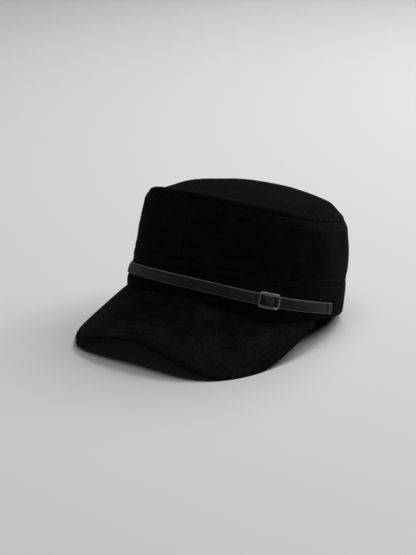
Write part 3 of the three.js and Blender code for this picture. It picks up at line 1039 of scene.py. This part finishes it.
def math_node(nodes, links, operation, *values, clamp=False):
    node = nodes.new("ShaderNodeMath")
    node.operation = operation
    node.use_clamp = clamp
    for socket, value in zip(node.inputs, values):
        if isinstance(value, (int, float)):
            socket.default_value = value
        else:
            links.new(value, socket)
    return node.outputs[0]


def bump_node(nodes, links, height, strength, distance):
    node = nodes.new("ShaderNodeBump")
    node.inputs["Strength"].default_value = strength
    node.inputs["Distance"].default_value = distance
    links.new(height, node.inputs["Height"])
    return node.outputs["Normal"]


def napped_cloth(name, tones, mottling, highlight_patch=None):
    """Short-napped cloth: its three tones from dark to light, how strongly its nap is mottled, and the
    place and radius of a painted highlight, a patch painted lighter."""
    material, nodes, links, shader = new_material(name)
    coordinates = nodes.new("ShaderNodeTexCoord").outputs["Object"]
    relief = nodes.new("ShaderNodeAttribute")
    relief.attribute_name = "relief"
    patches = noise_node(nodes, links, coordinates, 70, 5, 0.6, 0.6)
    streaks_map = nodes.new("ShaderNodeMapping")
    streaks_map.inputs["Scale"].default_value = (1.0, 1.0, 0.35)
    links.new(coordinates, streaks_map.inputs["Vector"])
    streaks = noise_node(nodes, links, streaks_map.outputs["Vector"], 420, 4, 0.65)
    nap = noise_node(nodes, links, coordinates, 2600, 2, 0.7)
    # The relief tints the cloth: painted highlight on raised seams and ridges, painted shade in grooves and
    # hollows.
    lift = math_node(nodes, links, "MULTIPLY", relief.outputs["Fac"], 0.16)
    brushed = noise_node(nodes, links, coordinates, 380, 4, 0.7, 1.0)
    tone = math_node(nodes, links, "MULTIPLY", streaks, 0.55)
    tone = math_node(nodes, links, "ADD", tone, math_node(nodes, links, "MULTIPLY", patches, 0.55))
    tone = math_node(nodes, links, "ADD", tone, lift)
    mottle = math_node(nodes, links, "SUBTRACT", brushed, 0.5)
    mottle = math_node(nodes, links, "MULTIPLY", mottle, mottling)
    tone = math_node(nodes, links, "ADD", tone, mottle)
    # Painted highlight: a round patch painted lighter along the streaks.
    if highlight_patch:
        place_at, radius = highlight_patch
        distance = nodes.new("ShaderNodeVectorMath")
        distance.operation = "DISTANCE"
        distance.inputs[1].default_value = place_at
        links.new(coordinates, distance.inputs[0])
        near = math_node(nodes, links, "DIVIDE", distance.outputs["Value"], radius)
        near = math_node(nodes, links, "SUBTRACT", 1.0, near, clamp=True)
        painted_highlight = math_node(nodes, links, "MULTIPLY", streaks, 1.3)
        painted_highlight = math_node(nodes, links, "MULTIPLY", near, painted_highlight)
        tone = math_node(nodes, links, "ADD", tone, painted_highlight)
    colour = ramp_node(nodes, links, tone, [(0.32, tones[0]), (0.52, tones[1]), (0.76, tones[2])])
    links.new(colour, shader.inputs["Base Color"])
    rough = math_node(nodes, links, "MULTIPLY_ADD", patches, 0.14, 0.84)
    links.new(rough, shader.inputs["Roughness"])
    shader.inputs["Specular IOR Level"].default_value = 0.02
    shader.inputs["Sheen Weight"].default_value = 0.003
    shader.inputs["Sheen Roughness"].default_value = 0.42
    shader.inputs["Sheen Tint"].default_value = (0.86, 0.88, 1.0, 1.0)
    height = math_node(nodes, links, "MULTIPLY", nap, 0.5)
    height = math_node(nodes, links, "ADD", height, streaks)
    normal = bump_node(nodes, links, height, strength=0.55, distance=0.00035)
    links.new(normal, shader.inputs["Normal"])
    return material


def thread_material(name, dark, light):
    material, nodes, links, shader = new_material(name)
    coordinates = nodes.new("ShaderNodeTexCoord").outputs["Object"]
    twist = noise_node(nodes, links, coordinates, 3200, 2, 0.5)
    colour = ramp_node(nodes, links, twist, [(0.35, dark), (0.7, light)])
    links.new(colour, shader.inputs["Base Color"])
    shader.inputs["Roughness"].default_value = 0.6
    shader.inputs["Specular IOR Level"].default_value = 0.12
    normal = bump_node(nodes, links, twist, strength=0.5, distance=0.00012)
    links.new(normal, shader.inputs["Normal"])
    return material


def strap_leather(name):
    material, nodes, links, shader = new_material(name)
    coordinates = nodes.new("ShaderNodeTexCoord").outputs["Object"]
    grain = nodes.new("ShaderNodeTexVoronoi")
    grain.feature = "DISTANCE_TO_EDGE"
    grain.inputs["Scale"].default_value = 1300
    links.new(coordinates, grain.inputs["Vector"])
    cells = ramp_node(nodes, links, grain.outputs["Distance"], [(0.0, (0, 0, 0)), (0.16, (1, 1, 1))])
    # Painted highlights along the strap's edges and ends, and painted shade in the creases near its ends.
    painted_light = nodes.new("ShaderNodeAttribute")
    painted_light.attribute_name = "painted_light"
    grain_and_painted_shade = nodes.new("ShaderNodeAttribute")
    grain_and_painted_shade.attribute_name = "grain_and_painted_shade"
    patches = noise_node(nodes, links, coordinates, 160, 4, 0.6)
    scratches = noise_node(nodes, links, coordinates, 900, 3, 0.6)
    tone = math_node(nodes, links, "MULTIPLY", patches, 0.6)
    tone = math_node(nodes, links, "ADD", tone, math_node(nodes, links, "MULTIPLY", scratches, 0.4))
    painted_light_tone = math_node(nodes, links, "MULTIPLY", painted_light.outputs["Fac"], 0.5)
    # Painted shade: the strap's tone is lowered right of the buckle.
    painted_shade_right_of_buckle = math_node(nodes, links, "MULTIPLY_ADD", grain_and_painted_shade.outputs["Fac"], 0.31, -0.12)
    tone = math_node(nodes, links, "ADD", tone, painted_shade_right_of_buckle)
    tone = math_node(nodes, links, "ADD", math_node(nodes, links, "MULTIPLY", tone, 0.6), painted_light_tone)
    colour = ramp_node(nodes, links, tone, [
        (0.20, (0.0080, 0.0080, 0.0085)),
        (0.42, (0.0240, 0.0240, 0.0250)),
        (0.60, (0.0600, 0.0600, 0.0620)),
        (0.80, (0.1900, 0.1900, 0.1940)),
    ])
    links.new(colour, shader.inputs["Base Color"])
    rough = math_node(nodes, links, "MULTIPLY_ADD", patches, 0.2, 0.5)
    links.new(rough, shader.inputs["Roughness"])
    shader.inputs["Specular IOR Level"].default_value = 0.16
    height = math_node(nodes, links, "MULTIPLY", cells, grain_and_painted_shade.outputs["Fac"])
    normal = bump_node(nodes, links, height, strength=0.6, distance=0.00025)
    links.new(normal, shader.inputs["Normal"])
    return material


def dark_metal(name):
    material, nodes, links, shader = new_material(name)
    coordinates = nodes.new("ShaderNodeTexCoord").outputs["Object"]
    wear = noise_node(nodes, links, coordinates, 500, 4, 0.6)
    colour = ramp_node(nodes, links, wear, [(0.35, (0.26, 0.26, 0.27)), (0.75, (0.44, 0.44, 0.45))])
    links.new(colour, shader.inputs["Base Color"])
    shader.inputs["Metallic"].default_value = 1.0
    rough = math_node(nodes, links, "MULTIPLY_ADD", wear, 0.18, 0.24)
    links.new(rough, shader.inputs["Roughness"])
    return material


def dress(obj, material, slot, *nodes):
    obj.data.materials.clear()
    obj.data.materials.append(material)
    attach(obj, ROOT)
    if nodes:
        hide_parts(*nodes)


WALL_TONES = [(0.0027, 0.0027, 0.0033), (0.0047, 0.0047, 0.0057), (0.0082, 0.0085, 0.0100)]
# Painted shade: the top panel is the walls' cloth given darker tones, to offset the stronger light that
# falls on it from above.
TOP_TONES_PAINTED_DARKER = [(0.0014, 0.0014, 0.0017), (0.0023, 0.0024, 0.0028), (0.0044, 0.0047, 0.0054)]
PEAK_TONES = [(0.0023, 0.0025, 0.0029), (0.0045, 0.0051, 0.0058), (0.0100, 0.0118, 0.0130)]
cloth = napped_cloth("napped_cloth", WALL_TONES, 0.3)
top_cloth_painted_darker = napped_cloth("napped_cloth_top_painted_darker", TOP_TONES_PAINTED_DARKER, 0.4)
# The peak's cloth carries a painted highlight on its upper face.
peak_cloth = napped_cloth("napped_cloth_peak", PEAK_TONES, 0.55, ((0.034, -0.062, 0.038), 0.016))
thread = thread_material("thread", (0.0040, 0.0041, 0.0047), (0.0110, 0.0112, 0.0128))
peak_thread = thread_material("peak_thread", (0.0080, 0.0086, 0.0095), (0.0240, 0.0255, 0.0275))
leather = strap_leather("strap_leather")
metal = dark_metal("dark_metal")

dress(crown_side("crown_side_left_cloth", 1), cloth, "napped_cloth", "crown_side_left")
dress(crown_side("crown_side_right_cloth", -1), cloth, "napped_cloth", "crown_side_right")
dress(crown_top("crown_top_cloth"), top_cloth_painted_darker, "napped_cloth", "crown_top")
dress(headband("headband_cloth"), cloth, "napped_cloth", "headband")
dress(peak("peak_cloth"), peak_cloth, "napped_cloth", "peak")
dress(strap("strap_leather_band"), leather, "strap_leather", "strap")
dress(buckle("buckle_metal"), metal, "dark_metal", "buckle")

# Stitch rows
full_turn = np.linspace(0, 2 * math.pi, 721)[:-1]
rows = []
upper_path = crown_surface_rows(full_turn, crown_height(full_turn) - rim_row(full_turn))
rows.append(stitch_row("row", *upper_path, True, 41))
lower_path = crown_surface_rows(full_turn, band_height(full_turn) + band_row(full_turn))
rows.append(stitch_row("row", *lower_path, True, 42))
for middle in (0.0, math.pi):
    for side in (-1, 1):
        share = np.linspace(0, 1, 60)
        low = float(band_height(middle)) + float(band_row(middle)) + 1.5
        high = float(crown_height(middle)) - float(rim_row(middle)) - 1.5
        z = low + (high - low) * share
        angle = middle + side * FRONT_ROW / (HALF_WIDTH * 0.98) + 0 * z
        for _ in range(4):
            x = np.abs(wall(angle, z)[:, 0])
            angle = angle + side * (FRONT_ROW - x) / HALF_WIDTH
        rows.append(stitch_row("row", *crown_surface_rows(angle, z), False, 43 + len(rows)))
dress(join("crown_stitches", rows), thread, "napped_cloth")

top_path = top_surface(full_turn, top_row(full_turn))
dress(stitch_row("top_stitches", *top_path, True, 51), thread, "napped_cloth")

band_row_path = band_surface(full_turn, band_height(full_turn) - band_row(full_turn))
dress(stitch_row("headband_stitches", *band_row_path, True, 52), thread, "napped_cloth")

peak_rows = [stitch_row("row", *peak_row(inset), False, 60 + i) for i, inset in enumerate(PEAK_ROWS)]
dress(join("peak_stitches", peak_rows), peak_thread, "napped_cloth")

end_rows = []
for side in (-1, 1):
    up = np.linspace(-3.6, 3.6, 12)
    angle = side * (STRAP_END_ANGLE - (STRAP_END_CREASE + 1.5) / STRAP_RADIUS) + 0 * up
    path = strap_point(angle, up, STRAP_SEAT + STRAP_THICKNESS - 0.1)
    normal = unit(path - strap_point(angle, up, 0.0))
    end_rows.append(stitch_row("row", path, normal, False, 70 + side))
dress(join("strap_stitches", end_rows), thread, "napped_cloth")

# Floor, light and camera
floor_mesh = bpy.data.meshes.new("floor")
floor_mesh.from_pydata([(-4, -4, 0), (4, -4, 0), (4, 4, 0), (-4, 4, 0)], [], [(0, 1, 2, 3)])
floor = bpy.data.objects.new("floor", floor_mesh)
bpy.context.scene.collection.objects.link(floor)
floor_material, _, _, shader = new_material("floor")
shader.inputs["Base Color"].default_value = (0.62, 0.62, 0.62, 1)
shader.inputs["Roughness"].default_value = 0.8
floor_mesh.materials.append(floor_material)

world = bpy.data.worlds.new("world")
world.use_nodes = True
world.node_tree.nodes["Background"].inputs["Color"].default_value = (0.8, 0.82, 0.85, 1)
world.node_tree.nodes["Background"].inputs["Strength"].default_value = 0.012
bpy.context.scene.world = world


def area_light(name, place_at, aim_at, width, depth, watts):
    light = bpy.data.lights.new(name, "AREA")
    light.shape = "ELLIPSE"
    light.size = width
    light.size_y = depth
    light.energy = watts
    obj = bpy.data.objects.new(name, light)
    obj.location = place_at
    obj.rotation_euler = (Vector(aim_at) - Vector(place_at)).to_track_quat("-Z", "Y").to_euler()
    bpy.context.scene.collection.objects.link(obj)


area_light("behind", (0.30, 1.9, 2.1), (0, 0, 0.05), width=3.6, depth=2.2, watts=95)
area_light("overhead", (-0.1, -0.1, 2.2), (0, 0, 0.05), width=1.3, depth=1.3, watts=16)
area_light("front", (0.5, -1.6, 0.4), (0, 0, 0.06), width=1.0, depth=0.5, watts=0.7)

camera_data = bpy.data.cameras.new("camera")
camera_data.sensor_width = CAMERA_SENSOR
camera_data.sensor_height = CAMERA_SENSOR
camera_data.sensor_fit = "AUTO"
camera_data.lens = CAMERA_LENS
camera_data.clip_start = 0.05
camera = bpy.data.objects.new("camera", camera_data)
camera.location = CAMERA_AT
camera.rotation_euler = (math.radians(90 - CAMERA_DOWN), 0, math.radians(CAMERA_ROUND))
bpy.context.scene.collection.objects.link(camera)
bpy.context.scene.camera = camera
bpy.context.scene.view_settings.view_transform = "Standard"
